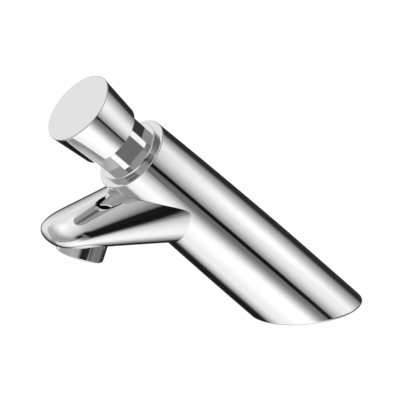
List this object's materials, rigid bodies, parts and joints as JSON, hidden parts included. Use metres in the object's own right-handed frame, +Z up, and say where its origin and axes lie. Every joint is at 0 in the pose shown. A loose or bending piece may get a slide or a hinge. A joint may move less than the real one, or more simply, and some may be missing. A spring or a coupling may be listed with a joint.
{
  "type": "push timed tap",
  "caption": "Self-closing basin tap: a leaning barrel body with a short hollow spout and aerator, a hexagonal head nut and a sprung push button that opens a metered valve inside.",
  "frame": {"origin": "where the leaning body's axis meets the deck, on the flat underside of the body", "axes": "+Z up from the deck, -Y forwards along the spout, +X to the side; the body's axis leans 45 degrees forwards from the deck"},
  "size_m": [0.0458, 0.1805, 0.1428],
  "materials": {
    "chrome": "polished plating",
    "brass": "turned",
    "steel": "bright",
    "rubber": "moulded, matt",
    "white_plastic": "turned",
    "grey_plastic": "moulded"
  },
  "bodies": {
    "tap": {"body": "chrome", "spout": "chrome", "head_nut": "chrome", "aerator_ring": "chrome", "cartridge_sleeve": "brass", "return_spring": "steel", "spring_washer": "steel", "bush_clip": "steel", "metering_pin": "steel", "valve_seat": "steel", "inlet_strainer": "steel", "aerator_mesh": "steel", "spindle_seal": "rubber", "head_seal": "rubber", "sleeve_seal_upper": "rubber", "sleeve_seal_lower": "rubber", "base_gasket": "rubber", "outlet_seal": "rubber", "guide_bush": "white_plastic", "jet_cup": "white_plastic", "outlet_grid": "grey_plastic"},
    "plunger": {"push_button": "chrome", "spindle": "brass", "lock_nut": "steel", "piston": "white_plastic", "piston_seal": "rubber", "piston_clip": "steel", "valve_washer": "rubber", "washer_cup": "brass", "stem_nut": "steel"}
  },
  "joints": [
    {"name": "button_push", "type": "slide", "parent": "tap", "child": "plunger", "axis": [0, 0.7071, -0.7071], "range_m": [0, 0.009], "stiffness_N_per_m": 1500, "springref_m": -0.012, "deforming": ["return_spring"]}
  ]
}
